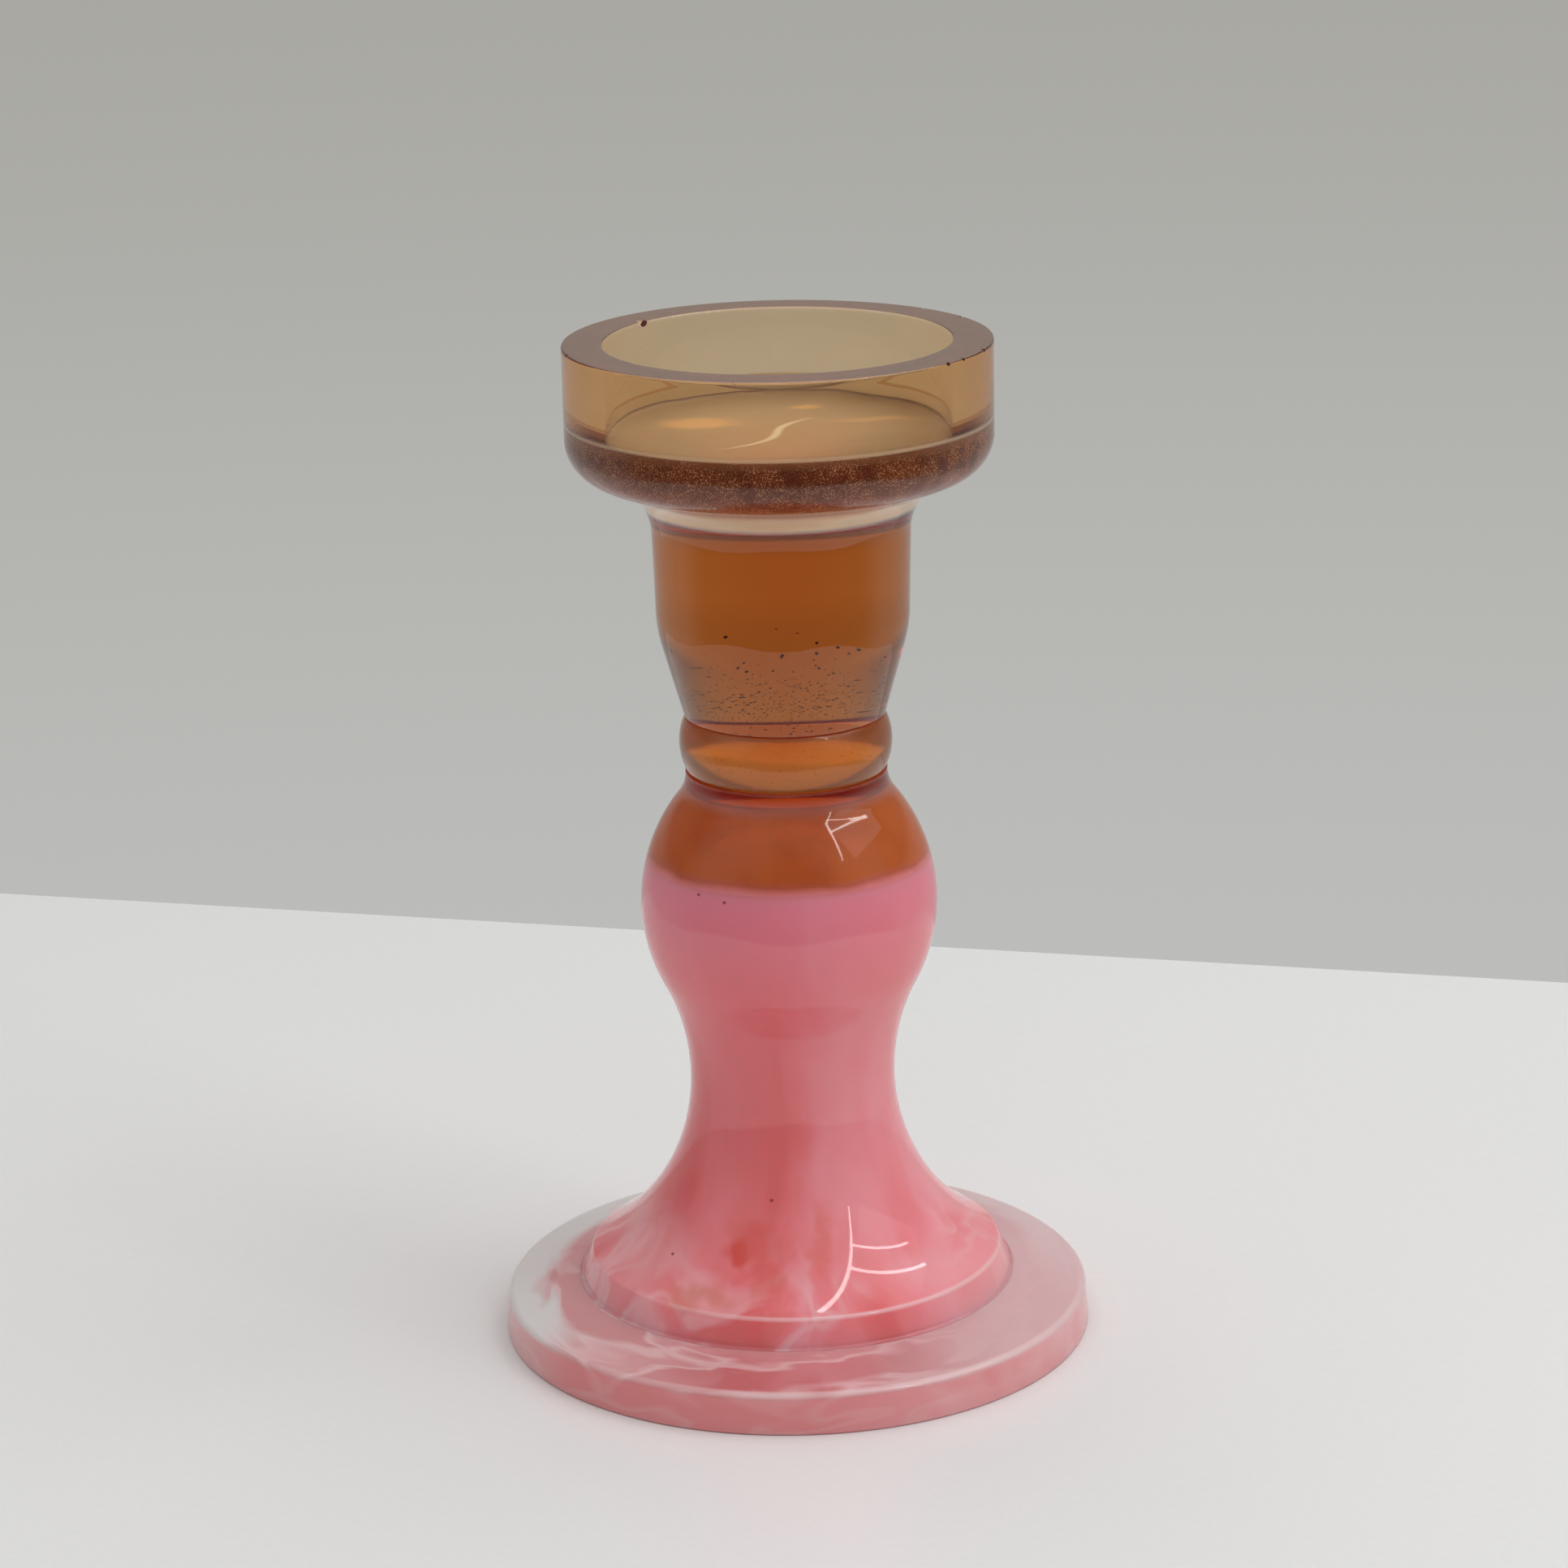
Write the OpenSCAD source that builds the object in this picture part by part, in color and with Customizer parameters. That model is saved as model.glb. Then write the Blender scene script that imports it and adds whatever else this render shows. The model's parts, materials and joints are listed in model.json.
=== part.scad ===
// Candlestick for a tealight, cast in coloured resin in an upright mould shape.
// An amber pour makes the cup, neck, collar and the top of the bulb. A pink pour
// makes the stem and the step of the foot. A clear pour makes the foot disc,
// which closes over a core of the pink.
// The origin is the centre of the foot's underside, and +Z points to the candle.
// Every piece is a body of revolution that sits face to face on the one below.

/* [Overall] */
// Height from the table to the rim
height = 120; // [116:1:130]

/* [Cup] */
// Outer radius of the cup
cup_r = 24.7; // [23.5:0.1:26]
// Radius of the well that a tealight drops into
well_r = 20; // [19.5:0.1:20.5]
// Depth of the well
well_depth = 10; // [7:0.5:11]
// Height of the straight part of the cup's outer wall
cup_wall_h = 10.8; // [9:0.1:12]
// Rounding from the cup's wall to its underside
cup_corner_r = 5; // [4:0.1:6]
// Hollow fillet from the cup's underside to the neck
cup_fillet_r = 6.7; // [6:0.1:7.5]

/* [Neck] */
// Radius of the neck where it enters the cup's fillet
neck_top_r = 15; // [14.8:0.1:15.6]
// Radius of the neck at its barrel
barrel_r = 14.8; // [14:0.1:15.2]
// Height of the barrel, where the neck starts to taper down
barrel_z = 89; // [87:0.5:91]
// Rounding between the barrel and the straight taper
barrel_arc_r = 17; // [13:0.5:18]

/* [Collar] */
// Radius of the collar at its middle
collar_r = 12.5; // [12.3:0.1:13]
// Radius of the two creases that bound the collar
crease_r = 11.85; // [11.5:0.05:12.1]
// Height of the crease below the collar
low_crease_z = 69.2; // [68:0.1:70]
// Height of the crease above the collar
high_crease_z = 76.2; // [75:0.1:77]

/* [Bulb and stem] */
// Radius of the bulb at its widest
bulb_r = 17.5; // [17:0.1:18]
// Height of the bulb's widest point
bulb_z = 53; // [52:0.5:54]
// Level at which the amber pour meets the pink one
pour_z = 58.5; // [55:0.5:62]
// Radius of the stem at its waist
waist_r = 12.2; // [12:0.1:12.6]
// Height of the waist
waist_z = 31.5; // [30.5:0.5:32.5]
// Radius of the hollow curve from the bulb down to the foot
stem_arc_r = 25.4; // [24:0.1:27]

/* [Foot] */
// Radius of the foot on the table
foot_r = 35.25; // [34:0.25:38]
// Radius of the foot disc at its top edge
foot_top_r = 34.95; // [33:0.05:34.95]
// Height of the foot disc at its rim
foot_edge_h = 4.9; // [4:0.1:5.5]
// Rounding of the foot disc's top edge
foot_edge_r = 0.9; // [0.5:0.1:1.5]
// Radius of the step where it stands on the disc
step_r = 25.8; // [25.4:0.1:27]
// Height at which the step stands on the disc
step_low_z = 6.5; // [6:0.1:7]
// Height of the step's upper edge
step_high_z = 9.7; // [9.2:0.1:10.2]
// Radius of the pink core inside the clear disc
core_r = 30.5; // [28:0.5:32]
// Clear resin left under the core
core_floor = 1; // [0.6:0.1:1.5]
// Height of the core's outer edge above its underside
core_edge_h = 2; // [1:0.1:2.5]
// Clear resin left between the core's shoulder and the step
core_cover = 0.8; // [0.5:0.1:1]

/* [Hidden] */

$fn = 96;
arc_steps = 14;
amber = [0.78, 0.48, 0.22, 0.6];
deep_amber = [0.66, 0.32, 0.14, 0.7];
pink = [0.86, 0.46, 0.55];
clear = [0.93, 0.84, 0.84, 0.45];

// A round curve and a hollow curve meet smoothly when the distance between their
// centres is the sum of their radii. Their tips are dr and dz apart.
function radii_sum(dr, dz) = (dr * dr + dz * dz) / (2 * dr);
function tip_gap(sum, dr) = sqrt(2 * sum * dr - dr * dr);

// Points [radius, height] on an arc from angle a0 to angle a1.
function arc(centre, r, a0, a1) =
    [for (i = [0 : arc_steps])
        let (a = a0 + (a1 - a0) * i / arc_steps)
        centre + r * [cos(a), sin(a)]];

// Direction from one centre to another.
function heading(from, to) = atan2(to[1] - from[1], to[0] - from[0]);

// Cup
wall_z = height - cup_wall_h;
cup_z = wall_z - tip_gap(cup_corner_r + cup_fillet_r, cup_r - neck_top_r);
corner_c = [cup_r - cup_corner_r, wall_z];
fillet_c = [neck_top_r + cup_fillet_r, cup_z];
under_a = heading(fillet_c, corner_c);

// Neck
barrel_c = [barrel_r - barrel_arc_r, barrel_z];
crease_gap = [crease_r, high_crease_z] - barrel_c;
taper_a = -acos(barrel_arc_r / norm(crease_gap)) - atan2(crease_gap[1], crease_gap[0]);

// Collar
collar_half_h = (high_crease_z - low_crease_z) / 2;
collar_bulge = collar_r - crease_r;
collar_arc_r = (collar_half_h * collar_half_h + collar_bulge * collar_bulge) / (2 * collar_bulge);
collar_c = [collar_r - collar_arc_r, low_crease_z + collar_half_h];
collar_a = asin(collar_half_h / collar_arc_r);

// Bulb and stem
bulb_arc_r = radii_sum(bulb_r - waist_r, bulb_z - waist_z) - stem_arc_r;
bulb_c = [bulb_r - bulb_arc_r, bulb_z];
stem_c = [waist_r + stem_arc_r, waist_z];
stem_a = heading(stem_c, bulb_c);
flare_a = 180 + asin((waist_z - step_high_z) / stem_arc_r);
flare_r = stem_c[0] + stem_arc_r * cos(flare_a);
pour_a = asin((pour_z - bulb_z) / bulb_arc_r);
crease_arc_r = radii_sum(bulb_r - crease_r, low_crease_z - bulb_z) - bulb_arc_r;
crease_c = [crease_r + crease_arc_r, low_crease_z];
shoulder_a = heading(bulb_c, crease_c);

// Foot
edge_c = [foot_top_r - foot_edge_r, foot_edge_h - foot_edge_r];
core_top_r = step_r - core_cover;

// Turns an outline round the axis. Each outline is closed along the axis by its
// own two end heights.
module turned(outline) {
    rotate_extrude()
        polygon(concat([[0, outline[0][1]]], outline, [[0, outline[len(outline) - 1][1]]]));
}

// Cup with a flat rim and a solid base under the well
module candle_cup() {
    color(amber)
        difference() {
            turned(concat(
                arc(fillet_c, cup_fillet_r, 180, under_a),
                arc(corner_c, cup_corner_r, under_a - 180, 0),
                [[cup_r, height]]));
            translate([0, 0, height - well_depth])
                cylinder(r = well_r, h = well_depth + 1);
        }
}

// Solid neck: a barrel that tapers down to the crease above the collar
module neck_barrel() {
    color(amber)
        turned(concat(
            [[crease_r, high_crease_z]],
            arc(barrel_c, barrel_arc_r, -taper_a, 0),
            [[neck_top_r, cup_z]]));
}

// Rounded collar between the two creases
module collar_ring() {
    color(deep_amber)
        turned(arc(collar_c, collar_arc_r, -collar_a, collar_a));
}

// Top of the bulb, from the pour level to the crease below the collar
module bulb_cap() {
    color(deep_amber)
        turned(concat(
            arc(bulb_c, bulb_arc_r, pour_a, shoulder_a),
            arc(crease_c, crease_arc_r, 180 + shoulder_a, 180)));
}

// Pink casting: the rest of the bulb, the waist and the flare down to the step
module stem_body() {
    color(pink)
        turned(concat(
            arc(stem_c, stem_arc_r, flare_a, stem_a),
            arc(bulb_c, bulb_arc_r, stem_a - 180, pour_a)));
}

// Step that the flare stands on
module foot_step() {
    color(pink)
        turned([[step_r, step_low_z], [flare_r, step_high_z]]);
}

// Pink core that the clear disc was cast around
module foot_core() {
    color(pink)
        turned([
            [core_r, core_floor],
            [core_r, core_floor + core_edge_h],
            [core_top_r, step_low_z - core_cover],
            [core_top_r, step_low_z]]);
}

// Clear foot disc, with the recess that the core fills
module foot_disc() {
    color(clear)
        difference() {
            turned(concat(
                [[foot_r, 0]],
                arc(edge_c, foot_edge_r, 0, 90),
                [[step_r, step_low_z]]));
            foot_core();
        }
}

candle_cup();
neck_barrel();
collar_ring();
bulb_cap();
stem_body();
foot_step();
foot_core();
foot_disc();
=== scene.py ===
import json
import math
import random

import bmesh
import bpy
from mathutils import Matrix, Vector, noise


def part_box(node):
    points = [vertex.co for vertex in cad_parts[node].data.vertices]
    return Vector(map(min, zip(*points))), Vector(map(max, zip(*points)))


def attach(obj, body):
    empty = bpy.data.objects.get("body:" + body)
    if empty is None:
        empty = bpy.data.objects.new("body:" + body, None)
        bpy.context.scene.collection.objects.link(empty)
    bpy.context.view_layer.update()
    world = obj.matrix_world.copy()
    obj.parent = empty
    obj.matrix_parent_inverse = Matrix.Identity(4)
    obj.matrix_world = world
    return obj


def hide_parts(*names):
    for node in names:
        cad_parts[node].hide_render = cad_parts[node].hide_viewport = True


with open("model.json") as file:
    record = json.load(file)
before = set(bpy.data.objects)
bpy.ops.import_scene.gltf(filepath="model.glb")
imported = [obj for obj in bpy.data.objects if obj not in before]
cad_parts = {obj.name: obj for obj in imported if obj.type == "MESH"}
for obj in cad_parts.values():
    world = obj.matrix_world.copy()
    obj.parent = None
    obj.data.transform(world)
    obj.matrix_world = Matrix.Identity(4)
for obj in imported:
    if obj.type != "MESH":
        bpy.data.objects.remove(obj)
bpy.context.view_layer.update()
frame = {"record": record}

# A tealight candlestick cast in resin: one clear amber casting from the bulb up to
# the cup, a milky pink stem and step, and a clear foot disc with a pink cloud in it.

MM = 0.001
TURNS = 288  # facets round the axis
WOBBLE = 0.05 * MM  # how far a hand-poured skin strays from a true turned one

# ---------------------------------------------------------------- sizes from the frame
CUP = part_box("candle_cup")
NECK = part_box("neck_barrel")
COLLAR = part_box("collar_ring")
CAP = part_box("bulb_cap")
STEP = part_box("foot_step")
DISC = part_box("foot_disc")
WELL = next(m for m in frame["record"]["mounts"] if m["name"] == "candle_well")

RIM_Z = CUP[1].z
CUP_R = CUP[1].x
WELL_R = WELL["dims"]["r_mm"] * MM
WELL_Z = RIM_Z - WELL["dims"]["length_mm"] * MM
WALL_Z = RIM_Z - 10.8 * MM
CORNER_R = 5.0 * MM
FILLET_R = 6.7 * MM
NECK_TOP_R = NECK[1].x
NECK_TOP_Z = NECK[1].z
BARREL_R = 14.8 * MM
BARREL_Z = 89.0 * MM
BARREL_ARC_R = 17.0 * MM
COLLAR_R = COLLAR[1].x
COLLAR_LOW = COLLAR[0].z
COLLAR_HIGH = COLLAR[1].z
CREASE_R = 11.85 * MM
POUR_Z = CAP[0].z
BULB_R = 17.5 * MM
BULB_Z = 53.0 * MM
WAIST_R = 12.2 * MM
WAIST_Z = 31.5 * MM
STEM_ARC_R = 25.4 * MM
STEP_LOW = STEP[0].z
STEP_HIGH = STEP[1].z
STEP_R = STEP[1].x
FOOT_R = DISC[1].x
FOOT_TOP_R = FOOT_R - 0.3 * MM
FOOT_EDGE_Z = 4.9 * MM
FOOT_EDGE_R = 0.9 * MM
PIGMENT_TOP = WELL_Z + 1.1 * MM  # top of the cup's pigment, where it shows on the outer wall
PIGMENT_LOW = 104.4 * MM  # below this the cup's pigment thins out
PIGMENT_END = 102.4 * MM  # and here it ends


# ---------------------------------------------------------------- outlines
def arc(centre, r, a0, a1, spacing=0.3 * MM):
    """Points (radius, height) on an arc between two angles in degrees."""
    count = max(3, math.ceil(abs(math.radians(a1 - a0)) * r / spacing))
    turn = [math.radians(a0 + (a1 - a0) * i / count) for i in range(count + 1)]
    return [(centre[0] + r * math.cos(a), centre[1] + r * math.sin(a)) for a in turn]


def line(start, end, spacing=0.5 * MM):
    """Points along a straight line, with both ends."""
    count = max(1, math.ceil(math.dist(start, end) / spacing))
    return [tuple(s + (e - s) * i / count for s, e in zip(start, end)) for i in range(count + 1)]


def chain(*stretches):
    """Joins stretches of an outline and drops points that repeat."""
    points = []
    for stretch in stretches:
        for p in stretch:
            if not points or math.dist(points[-1], p) > 1e-6:
                points.append(p)
    return points


def heading(start, end):
    """Direction from one point to another, in degrees."""
    return math.degrees(math.atan2(end[1] - start[1], end[0] - start[0]))


def radii_sum(dr, dz):
    """The two radii added, for a round and a hollow arc that meet smoothly."""
    return (dr * dr + dz * dz) / (2 * dr)


def rounded(corner, before, after, r, spacing=0.08 * MM):
    """A small rounding of a corner between two neighbouring points."""
    a = Vector(before) - Vector(corner)
    b = Vector(after) - Vector(corner)
    half = a.angle(b) / 2
    reach = r / math.tan(half)
    start = Vector(corner) + a.normalized() * reach
    end = Vector(corner) + b.normalized() * reach
    count = max(3, math.ceil(r * (math.pi - 2 * half) / spacing))
    points = []
    for i in range(count + 1):
        t = i / count
        points.append(tuple(start * (1 - t) ** 2 + Vector(corner) * 2 * t * (1 - t) + end * t * t))
    return points


BULB_ARC_R = radii_sum(BULB_R - WAIST_R, BULB_Z - WAIST_Z) - STEM_ARC_R
BULB_C = (BULB_R - BULB_ARC_R, BULB_Z)
STEM_C = (WAIST_R + STEM_ARC_R, WAIST_Z)
STEM_A = heading(STEM_C, BULB_C)
FLARE_A = 180 + math.degrees(math.asin((WAIST_Z - STEP_HIGH) / STEM_ARC_R))
FLARE_R = STEM_C[0] + STEM_ARC_R * math.cos(math.radians(FLARE_A))
POUR_A = math.degrees(math.asin((POUR_Z - BULB_Z) / BULB_ARC_R))
POUR_R = BULB_C[0] + BULB_ARC_R * math.cos(math.radians(POUR_A))


def cap_outline():
    """From the pour level up to the crease below the collar."""
    crease_arc = radii_sum(BULB_R - CREASE_R, COLLAR_LOW - BULB_Z) - BULB_ARC_R
    crease_c = (CREASE_R + crease_arc, COLLAR_LOW)
    shoulder = heading(BULB_C, crease_c)
    return chain(
        arc(BULB_C, BULB_ARC_R, POUR_A, shoulder),
        arc(crease_c, crease_arc, 180 + shoulder, 180))


def collar_outline():
    """The rounded collar between its two creases, with tight corners."""
    half = (COLLAR_HIGH - COLLAR_LOW) / 2
    middle = (COLLAR_LOW + COLLAR_HIGH) / 2
    corner = 0.9 * MM
    inner = 0.12 * MM
    side_r = 7.0 * MM
    side = (COLLAR_R - side_r, middle)
    turn = math.degrees(math.asin((half - corner) / (side_r - corner)))
    corner_r = side[0] + (side_r - corner) * math.cos(math.radians(turn))
    low = arc((corner_r, COLLAR_LOW + corner), corner, -75, -turn, 0.1 * MM)
    high = arc((corner_r, COLLAR_HIGH - corner), corner, turn, 75, 0.1 * MM)
    return chain(
        [(CREASE_R - inner, COLLAR_LOW)], low, arc(side, side_r, -turn, turn), high,
        [(CREASE_R - inner, COLLAR_HIGH)])


def neck_outline():
    """The neck from the crease above the collar to the cup's fillet."""
    centre = (BARREL_R - BARREL_ARC_R, BARREL_Z)
    gap = (CREASE_R - centre[0], COLLAR_HIGH - centre[1])
    taper = -math.degrees(math.acos(BARREL_ARC_R / math.hypot(*gap)) + math.atan2(gap[1], gap[0]))
    barrel = arc(centre, BARREL_ARC_R, -taper, 0)
    return chain(
        line((CREASE_R, COLLAR_HIGH), barrel[0]), barrel,
        line(barrel[-1], (NECK_TOP_R, NECK_TOP_Z)))


def cup_outline():
    """The cup's underside, wall, rim and well, down to the middle of its floor."""
    fillet = (NECK_TOP_R + FILLET_R, NECK_TOP_Z)
    corner = (CUP_R - CORNER_R, WALL_Z)
    under = heading(fillet, corner)
    lip = 0.3 * MM
    outer = rounded((CUP_R, RIM_Z), (CUP_R, WALL_Z), (WELL_R, RIM_Z), lip)
    inner = rounded((WELL_R, RIM_Z), (CUP_R, RIM_Z), (WELL_R, WELL_Z), lip)
    floor = rounded((WELL_R, WELL_Z), (WELL_R, RIM_Z), (0, WELL_Z), 2 * lip)
    return chain(
        arc(fillet, FILLET_R, 180, under), arc(corner, CORNER_R, under - 180, 0),
        line((CUP_R, WALL_Z), outer[0]), outer, line(outer[-1], inner[0]), inner,
        line(inner[-1], floor[0]), floor, line(floor[-1], (0, WELL_Z), 1.5 * MM))


def stem_radius(z):
    """Radius of the pink body's skin at a height."""
    if z > STEM_C[1] + STEM_ARC_R * math.sin(math.radians(STEM_A)):
        return BULB_C[0] + math.sqrt(BULB_ARC_R ** 2 - (z - BULB_Z) ** 2)
    return STEM_C[0] - math.sqrt(STEM_ARC_R ** 2 - (z - WAIST_Z) ** 2)


# ---------------------------------------------------------------- mesh helpers
def link(name, mesh):
    piece = bpy.data.objects.new(name, mesh)
    bpy.context.scene.collection.objects.link(piece)
    return piece


def turned(name, outline, wobble=0.0):
    """Turns an outline round the axis into a closed mesh. wobble is how far the
    surface strays, as a hand-poured casting does."""
    bm = bmesh.new()
    rings = []
    for r, z in outline:
        if r < 1e-7:
            rings.append([bm.verts.new((0, 0, z))])
            continue
        ring = []
        for i in range(TURNS):
            a = 2 * math.pi * i / TURNS
            stray = 0.0
            if wobble:
                away = noise.noise(Vector((math.cos(a) * 1.3, math.sin(a) * 1.3, z / (14 * MM))))
                stray = wobble * away * min(1.0, r / (8 * MM))
            ring.append(bm.verts.new(((r + stray) * math.cos(a), (r + stray) * math.sin(a), z)))
        rings.append(ring)
    for low, high in zip(rings, rings[1:]):
        for i in range(TURNS):
            j = (i + 1) % TURNS
            if len(low) == 1:
                bm.faces.new((low[0], high[j], high[i]))
            elif len(high) == 1:
                bm.faces.new((low[i], low[j], high[0]))
            else:
                bm.faces.new((low[i], low[j], high[j], high[i]))
    bmesh.ops.recalc_face_normals(bm, faces=bm.faces)
    mesh = bpy.data.meshes.new(name)
    bm.to_mesh(mesh)
    bm.free()
    return link(name, mesh)


def smooth(piece, angle=38):
    """Smooth shading, with edges sharper than the angle kept crisp."""
    mesh = piece.data
    mesh.polygons.foreach_set("use_smooth", [True] * len(mesh.polygons))
    mesh.set_sharp_from_angle(angle=math.radians(angle))


def bite_shapes(places):
    """One mesh of the round bites that leave chips: each a place, a size and a turn."""
    squash = (1.0, 0.8, 0.75)
    bm = bmesh.new()
    for place, size, turn in places:
        shape = Matrix.Diagonal((*(size * s for s in squash), 1))
        grow = Matrix.Translation(place) @ turn.to_4x4() @ shape
        bmesh.ops.create_icosphere(bm, subdivisions=3, radius=1.0, matrix=grow)
    mesh = bpy.data.meshes.new("bites")
    bm.to_mesh(mesh)
    bm.free()
    return link("bites", mesh)


def carve(piece, cutter):
    """Cuts the cutter's volume out of the piece and removes the cutter."""
    cut = piece.modifiers.new("cut", "BOOLEAN")
    cut.operation = "DIFFERENCE"
    cut.solver = "EXACT"
    cut.object = cutter
    bpy.context.view_layer.update()
    graph = bpy.context.evaluated_depsgraph_get()
    solid = bpy.data.meshes.new_from_object(piece.evaluated_get(graph))
    piece.modifiers.remove(cut)
    piece.data = solid
    bpy.data.objects.remove(cutter)


# ---------------------------------------------------------------- material helpers
class Graph:
    """Short calls for building the nodes of a material or a world."""

    def __init__(self, tree, coordinates):
        self.tree = tree
        self.place = tree.nodes.new("ShaderNodeTexCoord").outputs[coordinates]

    def link(self, source, target):
        if isinstance(source, (int, float)):
            target.default_value = source
        elif isinstance(source, tuple):
            target.default_value = (*source, 1.0)[: len(target.default_value)]
        else:
            self.tree.links.new(source, target)

    def scaled(self, scale, move=(0, 0, 0)):
        node = self.tree.nodes.new("ShaderNodeMapping")
        self.link(self.place, node.inputs["Vector"])
        node.inputs["Scale"].default_value = scale if isinstance(scale, tuple) else (scale,) * 3
        node.inputs["Location"].default_value = move
        return node.outputs["Vector"]

    def noise(self, vector, detail=3.0, rough=0.55, warp=0.0):
        node = self.tree.nodes.new("ShaderNodeTexNoise")
        self.link(vector, node.inputs["Vector"])
        self.link(1.0, node.inputs["Scale"])
        self.link(detail, node.inputs["Detail"])
        self.link(rough, node.inputs["Roughness"])
        self.link(warp, node.inputs["Distortion"])
        return node.outputs["Fac"]

    def ramp(self, factor, low, high, start=0.0, end=1.0):
        node = self.tree.nodes.new("ShaderNodeMapRange")
        node.interpolation_type = "SMOOTHSTEP"
        values = (factor, low, high, start, end)
        for value, key in zip(values, ("Value", "From Min", "From Max", "To Min", "To Max")):
            self.link(value, node.inputs[key])
        return node.outputs["Result"]

    def maths(self, operation, a, b=0.0):
        node = self.tree.nodes.new("ShaderNodeMath")
        node.operation = operation
        self.link(a, node.inputs[0])
        self.link(b, node.inputs[1])
        return node.outputs[0]

    def plus(self, a, b):
        return self.maths("ADD", a, b)

    def minus(self, a, b):
        return self.maths("SUBTRACT", a, b)

    def times(self, a, b):
        return self.maths("MULTIPLY", a, b)

    def most(self, a, b):
        return self.maths("MAXIMUM", a, b)

    def size(self, a):
        return self.maths("ABSOLUTE", a)

    def rest(self, share):
        """What a share leaves of one."""
        return self.minus(1.0, share)

    def mix(self, factor, a, b):
        node = self.tree.nodes.new("ShaderNodeMix")
        node.data_type = "RGBA"
        self.link(factor, node.inputs["Factor"])
        for value, key in ((a, "A"), (b, "B")):
            socket = next(i for i in node.inputs if i.name == key and i.type == "RGBA")
            self.link(value, socket)
        return next(o for o in node.outputs if o.type == "RGBA")

    def band(self, value, start, low, high, end):
        """1 between low and high, fading to 0 at start and end."""
        return self.times(self.ramp(value, start, low), self.ramp(value, end, high))

    def axis(self, name):
        node = self.tree.nodes.new("ShaderNodeSeparateXYZ")
        self.link(self.place, node.inputs[0])
        return node.outputs[name]

    def radius(self):
        """Distance from the upright axis."""
        return self.length(self.vector("MULTIPLY", self.place, (1, 1, 0)))

    def near(self, centre, radii, soft=0.5, warp=None):
        """1 inside an ellipsoid round a place, fading to 0 outside it."""
        shift = self.vector("SUBTRACT", warp or self.place, tuple(centre))
        away = self.length(self.vector("DIVIDE", shift, tuple(radii)))
        return self.ramp(away, 1 - soft, 1 + soft, 1.0, 0.0)

    def warped(self, place, amount, scale, detail=2.0):
        """place pushed about by a noise, for swirls."""
        node = self.tree.nodes.new("ShaderNodeTexNoise")
        self.link(place, node.inputs["Vector"])
        node.inputs["Scale"].default_value = scale
        node.inputs["Detail"].default_value = detail
        centred = self.vector("SUBTRACT", node.outputs["Color"], (0.5, 0.5, 0.5))
        return self.vector("ADD", self.vector("MULTIPLY", centred, (amount,) * 3), place)

    def turned_about(self, along, across):
        """A place measured round the axis and outwards or down, for streaks that follow
        a turned shape. along and across are streaks per metre."""
        flat = self.vector("MULTIPLY", self.place, (1, 1, 0))
        unit = self.vector("NORMALIZE", flat)
        rings = self.tree.nodes.new("ShaderNodeCombineXYZ")
        outward = self.minus(self.radius(), self.axis("Z"))
        self.link(self.times(outward, across), rings.inputs["Z"])
        return self.vector("ADD", self.vector("MULTIPLY", unit, (along,) * 3), rings.outputs[0])

    def vector(self, operation, a, b=None):
        node = self.tree.nodes.new("ShaderNodeVectorMath")
        node.operation = operation
        for value, socket in ((a, node.inputs[0]), (b, node.inputs[1])):
            if isinstance(value, tuple):
                socket.default_value = value
            elif value is not None:
                self.tree.links.new(value, socket)
        return node.outputs["Vector"]

    def length(self, vector):
        node = self.tree.nodes.new("ShaderNodeVectorMath")
        node.operation = "LENGTH"
        self.link(vector, node.inputs[0])
        return node.outputs["Value"]

    def facing(self, angle, low, high):
        """1 on the side of the axis that lies at an angle, 0 away from it."""
        unit = self.vector("NORMALIZE", self.vector("MULTIPLY", self.place, (1, 1, 0)))
        a = math.radians(angle)
        split = self.tree.nodes.new("ShaderNodeSeparateXYZ")
        self.link(unit, split.inputs[0])
        dot = self.plus(self.times(split.outputs["X"], math.cos(a)),
                        self.times(split.outputs["Y"], math.sin(a)))
        return self.ramp(dot, low, high)


class Nodes(Graph):
    """One material, with calls for its shader."""

    def __init__(self, name):
        self.mat = bpy.data.materials.new(name)
        self.mat.use_nodes = True
        super().__init__(self.mat.node_tree, "Object")
        self.shader = self.tree.nodes["Principled BSDF"]
        self.output = self.tree.nodes["Material Output"]

    def set(self, **values):
        for name, value in values.items():
            self.link(value, self.shader.inputs[name.replace("_", " ")])

    def bump(self, height, strength, distance):
        node = self.tree.nodes.new("ShaderNodeBump")
        node.inputs["Strength"].default_value = strength
        node.inputs["Distance"].default_value = distance
        self.link(height, node.inputs["Height"])
        self.link(node.outputs["Normal"], self.shader.inputs["Normal"])

    def milky(self, share, depth, spread):
        """Lets light wander under the skin, to a depth times the spread of each colour."""
        self.set(Subsurface_Weight=share, Subsurface_Scale=depth)
        self.shader.inputs["Subsurface Radius"].default_value = spread

    def absorb(self, colour, density):
        node = self.tree.nodes.new("ShaderNodeVolumeAbsorption")
        node.inputs["Color"].default_value = (*colour, 1)
        node.inputs["Density"].default_value = density
        self.tree.links.new(node.outputs[0], self.output.inputs["Volume"])


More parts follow.
